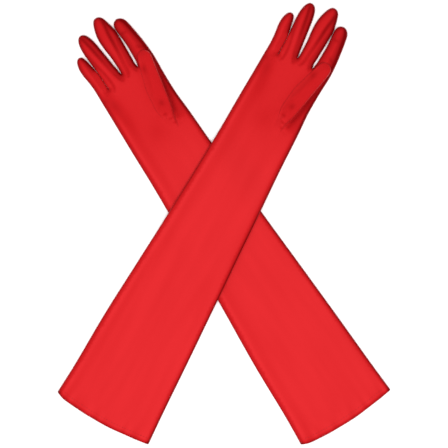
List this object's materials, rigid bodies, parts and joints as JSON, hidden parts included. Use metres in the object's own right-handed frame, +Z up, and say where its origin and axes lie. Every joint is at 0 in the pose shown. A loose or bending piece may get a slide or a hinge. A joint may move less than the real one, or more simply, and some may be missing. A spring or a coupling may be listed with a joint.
{
  "type": "opera gloves",
  "caption": "Pair of long satin opera gloves laid flat and crossed, with open cuffs, fingers that flex and thumbs that lift.",
  "frame": {"origin": "on the table under the middle of the crossed pair", "axes": "+Y towards the fingertips, +X to the right of the pair, +Z up from the table"},
  "size_m": [0.3912, 0.5212, 0.0143],
  "materials": {
    "satin": "satin",
    "thread": "matte"
  },
  "bodies": {
    "lower_glove": {"lower_palm": "satin", "lower_back": "satin", "lower_side_seam": "satin", "lower_cuff_hem": "satin", "lower_hem_stitching": "thread", "lower_thumb_base": "satin"},
    "lower_little_finger": {"lower_little_front": "satin", "lower_little_back": "satin", "lower_little_fourchette": "satin"},
    "lower_ring_finger": {"lower_ring_front": "satin", "lower_ring_back": "satin", "lower_ring_fourchette_little_side": "satin", "lower_ring_fourchette_middle_side": "satin"},
    "lower_middle_finger": {"lower_middle_front": "satin", "lower_middle_back": "satin", "lower_middle_fourchette_ring_side": "satin", "lower_middle_fourchette_index_side": "satin"},
    "lower_index_finger": {"lower_index_front": "satin", "lower_index_back": "satin", "lower_index_fourchette": "satin"},
    "lower_thumb": {"lower_thumb_front": "satin", "lower_thumb_back": "satin"},
    "upper_glove": {"upper_palm": "satin", "upper_back": "satin", "upper_side_seam": "satin", "upper_cuff_hem": "satin", "upper_hem_stitching": "thread", "upper_thumb_base": "satin"},
    "upper_little_finger": {"upper_little_front": "satin", "upper_little_back": "satin", "upper_little_fourchette": "satin"},
    "upper_ring_finger": {"upper_ring_front": "satin", "upper_ring_back": "satin", "upper_ring_fourchette_little_side": "satin", "upper_ring_fourchette_middle_side": "satin"},
    "upper_middle_finger": {"upper_middle_front": "satin", "upper_middle_back": "satin", "upper_middle_fourchette_ring_side": "satin", "upper_middle_fourchette_index_side": "satin"},
    "upper_index_finger": {"upper_index_front": "satin", "upper_index_back": "satin", "upper_index_fourchette": "satin"},
    "upper_thumb": {"upper_thumb_front": "satin", "upper_thumb_back": "satin"}
  },
  "joints": [
    {"name": "upper_glove_lift", "type": "slide", "parent": "lower_glove", "child": "upper_glove", "axis": [0, 0, 1], "range_m": [0, 0.25]},
    {"name": "lower_little_flex", "type": "hinge", "parent": "lower_glove", "child": "lower_little_finger", "pos_m": [-0.14342, 0.15656, 0.007], "axis": [0.8358, 0.549, 0], "range_deg": [0, 90]},
    {"name": "lower_ring_flex", "type": "hinge", "parent": "lower_glove", "child": "lower_ring_finger", "pos_m": [-0.13202, 0.17362, 0.007], "axis": [0.8358, 0.549, 0], "range_deg": [0, 90]},
    {"name": "lower_middle_flex", "type": "hinge", "parent": "lower_glove", "child": "lower_middle_finger", "pos_m": [-0.11313, 0.18603, 0.007], "axis": [0.8358, 0.549, 0], "range_deg": [0, 90]},
    {"name": "lower_index_flex", "type": "hinge", "parent": "lower_glove", "child": "lower_index_finger", "pos_m": [-0.09863, 0.20512, 0.007], "axis": [0.8358, 0.549, 0], "range_deg": [0, 90]},
    {"name": "lower_thumb_lift", "type": "hinge", "parent": "lower_glove", "child": "lower_thumb", "pos_m": [-0.06286, 0.12572, 0.0137], "axis": [0.9184, 0.3955, 0], "range_deg": [0, 90]},
    {"name": "upper_little_flex", "type": "hinge", "parent": "upper_glove", "child": "upper_little_finger", "pos_m": [0.05898, 0.2071, 0.007], "axis": [0.8805, -0.4741, 0], "range_deg": [0, 90]},
    {"name": "upper_ring_flex", "type": "hinge", "parent": "upper_glove", "child": "upper_ring_finger", "pos_m": [0.07941, 0.20518, 0.007], "axis": [0.8805, -0.4741, 0], "range_deg": [0, 90]},
    {"name": "upper_middle_flex", "type": "hinge", "parent": "upper_glove", "child": "upper_middle_finger", "pos_m": [0.09931, 0.19446, 0.007], "axis": [0.8805, -0.4741, 0], "range_deg": [0, 90]},
    {"name": "upper_index_flex", "type": "hinge", "parent": "upper_glove", "child": "upper_index_finger", "pos_m": [0.123, 0.19079, 0.007], "axis": [0.8805, -0.4741, 0], "range_deg": [0, 90]},
    {"name": "upper_thumb_lift", "type": "hinge", "parent": "upper_glove", "child": "upper_thumb", "pos_m": [0.07017, 0.12157, 0.0137], "axis": [0.7848, -0.6198, 0], "range_deg": [0, 90]}
  ]
}
